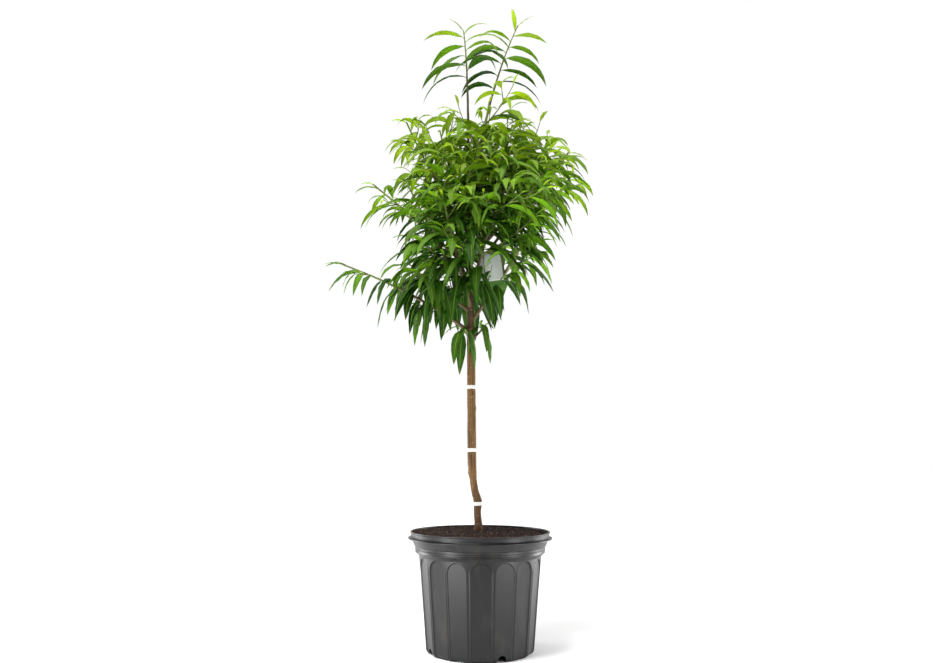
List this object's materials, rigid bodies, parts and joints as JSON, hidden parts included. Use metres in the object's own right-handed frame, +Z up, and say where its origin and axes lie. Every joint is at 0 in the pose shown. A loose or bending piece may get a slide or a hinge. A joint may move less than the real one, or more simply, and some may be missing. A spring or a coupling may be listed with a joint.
{
  "type": "potted dwarf peach tree",
  "caption": "Young dwarf peach tree with a slim bare stem, a feathered crown of long drooping leaves and two leaders, standing in a round fluted nursery pot.",
  "frame": {"origin": "centre of the pot's flat underside", "axes": "+Z up along the stem, -Y towards the front of the tree, +X to its right seen from the front"},
  "size_m": [0.6968, 0.563, 1.662],
  "materials": {
    "pot_plastic": "satin",
    "potting_mix": "matte",
    "bark": "matte",
    "tie_plastic": "satin",
    "tag_card": "satin",
    "foliage": "satin"
  },
  "bodies": {
    "root": {"pot": "pot_plastic", "soil": "potting_mix", "trunk": "bark", "tie_1": "tie_plastic", "tie_2": "tie_plastic", "tie_3": "tie_plastic", "hang_tag": "tag_card", "leader_left": "bark", "leader_right": "bark", "shoot_centre_front": "bark", "shoot_centre_back": "bark", "bough_upper_left": "bark", "bough_upper_right": "bark", "bough_right": "bark", "bough_left": "bark", "bough_back_right": "bark", "bough_back_left": "bark", "bough_front_right": "bark", "bough_front_left": "bark", "bough_front": "bark", "spur_centre_front": "bark", "spur_centre_back": "bark", "spur_low_left": "bark", "bough_low_right": "bark", "bough_low_left": "bark", "spur_low_front": "bark", "spur_low_right": "bark", "foliage_leader_left": "foliage", "foliage_leader_right": "foliage", "foliage_shoot_centre_front": "foliage", "foliage_shoot_centre_back": "foliage", "foliage_bough_upper_left": "foliage", "foliage_bough_upper_right": "foliage", "foliage_bough_right": "foliage", "foliage_bough_left": "foliage", "foliage_bough_back_right": "foliage", "foliage_bough_back_left": "foliage", "foliage_bough_front_right": "foliage", "foliage_bough_front_left": "foliage", "foliage_bough_front": "foliage", "foliage_spur_centre_front": "foliage", "foliage_spur_centre_back": "foliage", "foliage_spur_low_left": "foliage", "foliage_bough_low_right": "foliage", "foliage_bough_low_left": "foliage", "foliage_spur_low_front": "foliage", "foliage_spur_low_right": "foliage"}
  },
  "joints": []
}
